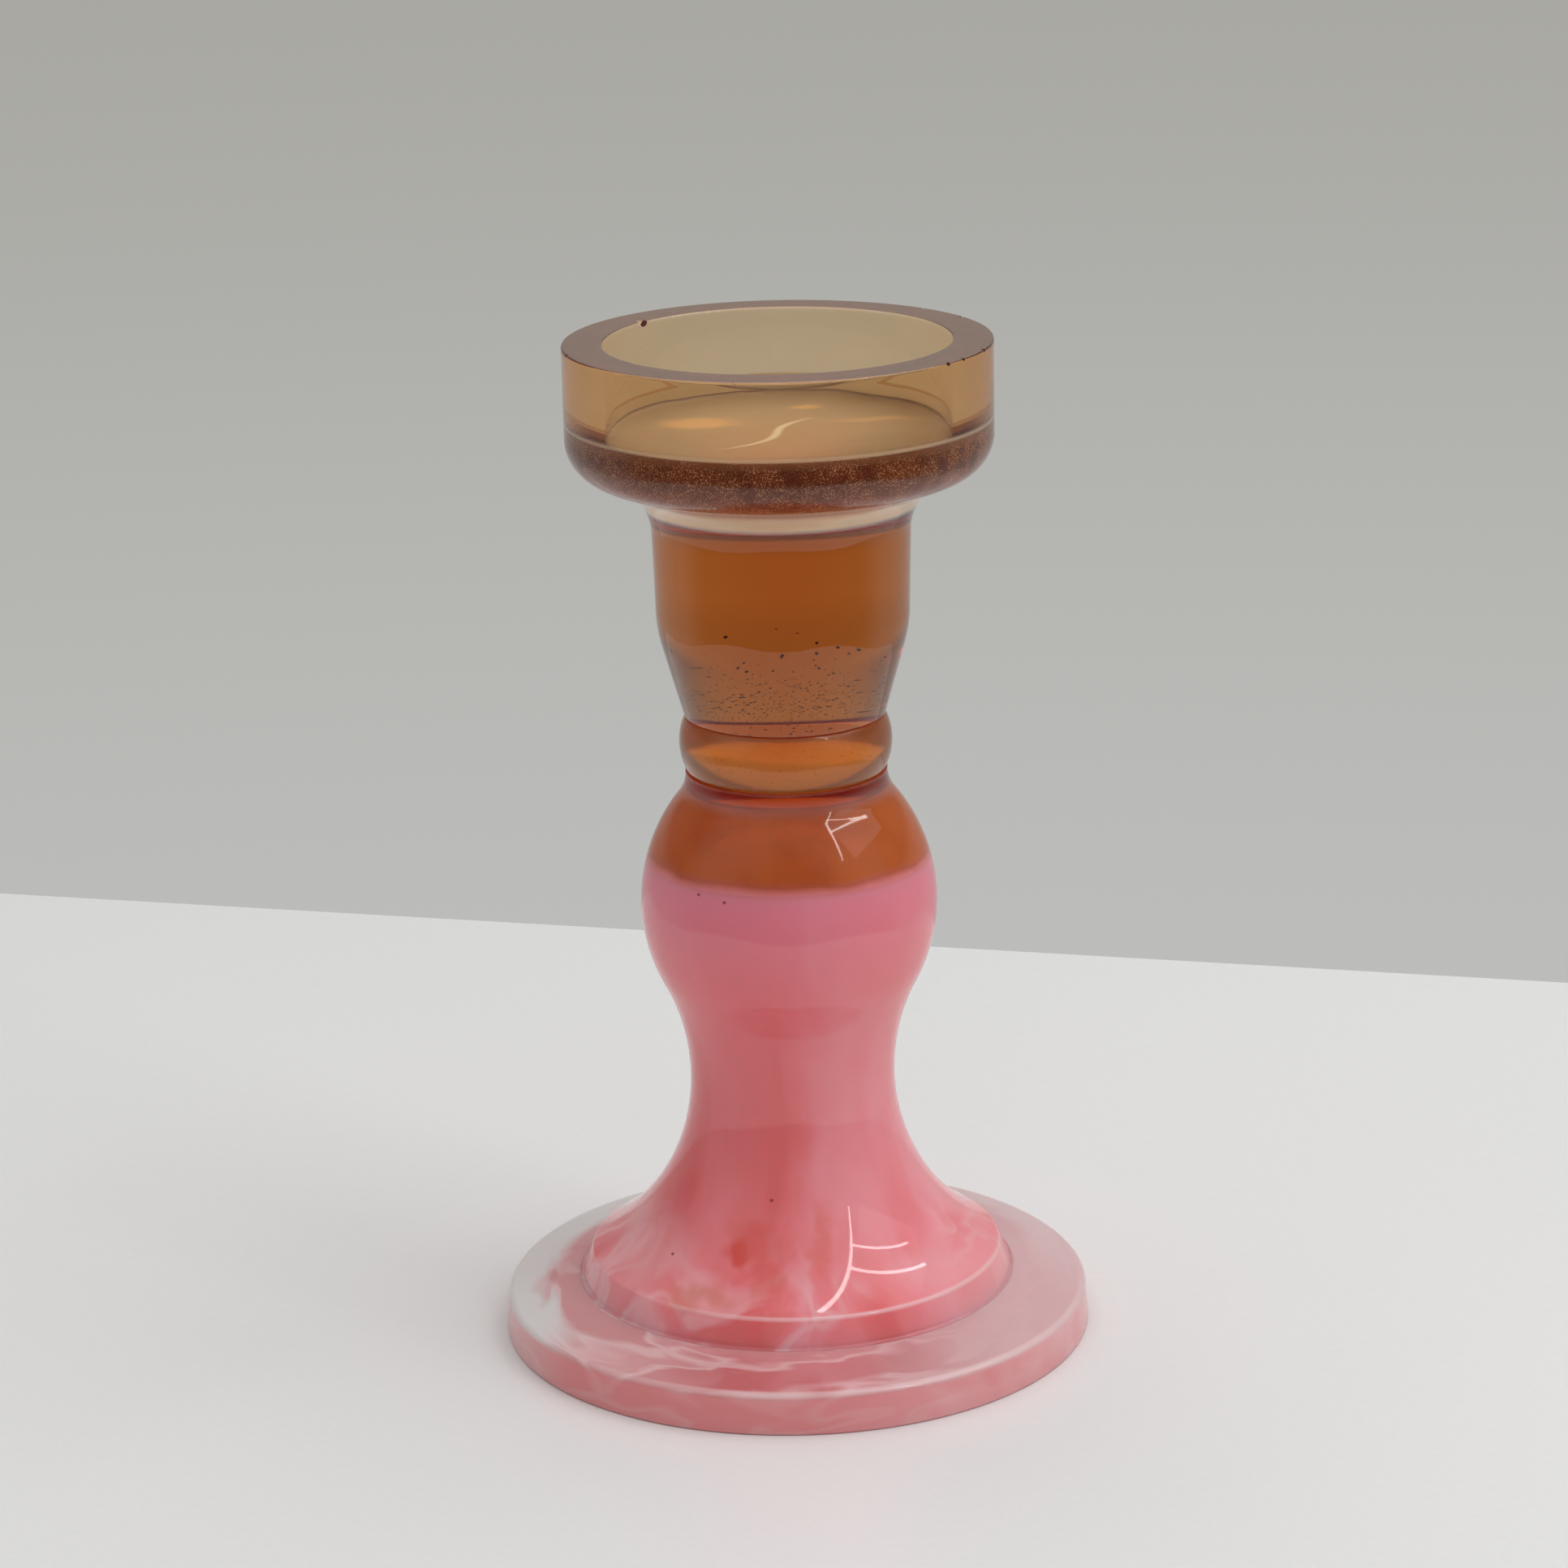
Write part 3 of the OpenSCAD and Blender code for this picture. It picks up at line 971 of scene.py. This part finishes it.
def skin_radius(outline, z):
    """Radius of a rising outline at a height, or None outside it."""
    for low, high in zip(outline, outline[1:]):
        if low[1] <= z <= high[1] and high[1] > low[1]:
            share = (z - low[1]) / (high[1] - low[1])
            return low[0] + (high[0] - low[0]) * share
    return None


def specks_under(draw, outline, count, pick_height):
    """Specks at random places just under the skin of a turned outline."""
    specks = []
    while len(specks) < count:
        z = pick_height()
        a = draw.uniform(0, 2 * math.pi)
        skin = skin_radius(outline, z)
        if skin is None:
            continue
        r = skin - draw.triangular(0.17, 1.2, 0.2) * MM
        size = draw.triangular(0.05, 0.11, 0.07) * MM
        specks.append((Vector((r * math.cos(a), r * math.sin(a), z)), size, Matrix.Identity(3)))
    return specks


def make_specks():
    """Dark specks under the skin, thick at the bottom of the neck and even in the collar."""
    draw = random.Random(11)
    neck_count, collar_count = 2100, 700
    neck_low, neck_high, neck_most = COLLAR_HIGH + 0.3 * MM, 86 * MM, 77.5 * MM
    collar_low, collar_high = COLLAR_LOW + 0.4 * MM, COLLAR_HIGH - 0.4 * MM
    specks = specks_under(
        draw, neck_outline(), neck_count, lambda: draw.triangular(neck_low, neck_high, neck_most))
    specks += specks_under(
        draw, collar_outline(), collar_count, lambda: draw.uniform(collar_low, collar_high))
    keep(grains("pigment_specks", specks, 0.9, 5), speck_pigment(), "amber_resin")


def make_mica():
    """Thin mica flakes that glint in the cup's solid base."""
    draw = random.Random(5)
    count = 9000
    low, high, most = 101.0 * MM, 109.75 * MM, 108.0 * MM
    flakes = []
    under = [p for p in cup_outline() if p[1] < WELL_Z and p[0] > NECK_TOP_R]
    while len(flakes) < count:
        a = draw.uniform(0, 2 * math.pi)
        z = draw.triangular(low, high, most)
        skin = skin_radius(under, z)
        if skin is None:
            continue
        r = skin - draw.triangular(0.15, 16.0, 0.5) * MM
        size = draw.triangular(0.04, 0.13, 0.06) * MM
        spin = Matrix.Rotation(draw.uniform(0, 6.28), 3, "Z")
        turn = spin @ Matrix.Rotation(draw.uniform(0, 3.14), 3, "X")
        flakes.append((Vector((r * math.cos(a), r * math.sin(a), z)), size, turn))
    keep(grains("mica_flakes", flakes, 0.25, 3), mica(), "amber_resin")


make_amber()
make_pink()
make_foot()
make_cloud()
make_specks()
make_mica()


# ---------------------------------------------------------------- stage, light, camera
AIM = (0, 0, 0.05)  # the lamps point at the candlestick's middle
LAMP_Z = 0.9
STRIP_WIDTH = 0.032
STRIP_GLOW = 9.5
KEY_GLOW = 0.65
TOP_GLOW = 1.35
FILL_POWER = 1.0
CAMERA_PLACE = (0, -0.5062, 0.2180)
CAMERA_LENS = 103.35
CAMERA_PITCH = 16.60
CAMERA_YAW = -0.035
CAMERA_ROLL = -1.24


def table_material():
    """Pale laminate with a faint fleck."""
    m = Nodes("table_top")
    fleck = m.noise(m.scaled(900.0), 2.0)
    m.set(Base_Color=m.mix(fleck, (0.83, 0.83, 0.83), (0.87, 0.87, 0.87)), Roughness=0.3)
    return m.mat


def make_table():
    """The table top: a straight far edge crosses the view, the near corners are round."""
    left, right, near, corner = -0.20, 0.17, -0.17, 0.10
    top_z, under_z = -0.05 * MM, -12 * MM
    far_middle, far_slope = 0.1430, -0.2467
    far = [(x, far_middle + far_slope * x) for x in (right, left)]
    low_left = arc((left + corner, near + corner), corner, 180, 270, 4 * MM)
    low_right = arc((right - corner, near + corner), corner, 270, 360, 4 * MM)
    outline = chain(low_left, low_right, far)
    count = len(outline)
    points = [(x, y, top_z) for x, y in outline] + [(x, y, under_z) for x, y in outline]
    faces = [tuple(range(count)), tuple(reversed(range(count, 2 * count)))]
    for i in range(count):
        j = (i + 1) % count
        faces.append((i, i + count, j + count, j))
    mesh = bpy.data.meshes.new("table")
    mesh.from_pydata(points, [], faces)
    mesh.materials.append(table_material())
    link("table", mesh)


def make_world():
    """A pale wall behind, and a dim room in front that is brighter overhead and aside."""
    world = bpy.data.worlds.new("room")
    bpy.context.scene.world = world
    world.use_nodes = True
    g = Graph(world.node_tree, "Generated")
    x, y, z = (g.axis(name) for name in "XYZ")
    wall = g.mix(g.ramp(z, -0.36, -0.06), (0.51, 0.51, 0.50), (0.385, 0.38, 0.35))
    wall = g.mix(g.ramp(z, 0.03, 0.17), wall, (0.19, 0.188, 0.175))
    ceiling = (0.45, 0.45, 0.45)
    upward = g.plus(g.times(g.size(x), 0.75), z)
    room = g.mix(g.ramp(upward, 0.55, 1.10), (0.15, 0.148, 0.145), (0.52, 0.52, 0.52))
    around = g.mix(g.ramp(y, -0.30, 0.20), room, wall)
    sky = g.mix(g.ramp(z, 0.55, 0.95), around, ceiling)
    g.link(sky, g.tree.nodes["Background"].inputs["Color"])


def area_light(name, place, target, size, power):
    """A rectangular lamp at a place, facing a target."""
    lamp = bpy.data.lights.new(name, "AREA")
    lamp.shape = "RECTANGLE"
    lamp.size, lamp.size_y = size
    lamp.energy = power
    piece = bpy.data.objects.new(name, lamp)
    bpy.context.scene.collection.objects.link(piece)
    piece.location = place
    piece.rotation_euler = (Vector(target) - Vector(place)).to_track_quat("-Z", "Y").to_euler()
    return piece


def power_of(glow, size):
    """Power of a lamp with that brightness all over."""
    return glow * math.pi * size[0] * size[1]


def strip_light(name, start, end):
    """A thin straight lamp above the table, facing down."""
    middle = [(a + b) / 2 for a, b in zip(start, end)]
    size = (math.dist(start, end), STRIP_WIDTH)
    power = power_of(STRIP_GLOW, size)
    lamp = area_light(name, (*middle, LAMP_Z), (*middle, 0), size, power)
    lamp.rotation_euler = (0, 0, math.atan2(end[1] - start[1], end[0] - start[0]))


def make_lights():
    """A soft key from the right, a soft overhead, a fill from the front, and three strips
    for the highlights."""
    key_size = (0.9, 0.9)
    area_light("key", (0.80, -0.10, 0.95), AIM, key_size, power_of(KEY_GLOW, key_size))
    top_size = (1.6, 1.2)
    top_power = power_of(TOP_GLOW, top_size)
    overhead = area_light("overhead", (0.05, 0.45, 1.2), AIM, top_size, top_power)
    overhead.visible_glossy = False
    fill = area_light("fill", (0.05, -0.80, 0.38), AIM, (0.7, 0.7), FILL_POWER)
    fill.visible_glossy = False
    fill.visible_transmission = False
    strip_light("strip_rail", (0.06, 0.02), (1.18, -0.99))
    strip_light("strip_near", (0.411, -0.321), (0.917, 0.367))
    strip_light("strip_far", (0.604, -0.509), (1.166, 0.196))


def make_camera():
    """The camera, in front of the table and looking down at the candlestick."""
    data = bpy.data.cameras.new("camera")
    data.lens = CAMERA_LENS
    data.sensor_width = 36
    data.clip_start = 0.01
    camera = bpy.data.objects.new("camera", data)
    bpy.context.scene.collection.objects.link(camera)
    yaw = Matrix.Rotation(-math.radians(CAMERA_YAW), 4, "Z")
    pitch = Matrix.Rotation(math.pi / 2 - math.radians(CAMERA_PITCH), 4, "X")
    roll = Matrix.Rotation(math.radians(CAMERA_ROLL), 4, "Z")
    camera.matrix_world = Matrix.Translation(CAMERA_PLACE) @ yaw @ pitch @ roll
    bpy.context.scene.camera = camera


def set_bounces():
    """Enough bounces for light to pass through several skins of resin."""
    scene = bpy.context.scene
    scene.view_settings.view_transform = "Standard"
    scene.cycles.max_bounces = 24
    scene.cycles.diffuse_bounces = 8
    scene.cycles.glossy_bounces = 16
    scene.cycles.transmission_bounces = 20
    scene.cycles.transparent_max_bounces = 16
    scene.cycles.sample_clamp_indirect = 8.0


make_table()
make_world()
make_lights()
make_camera()
set_bounces()
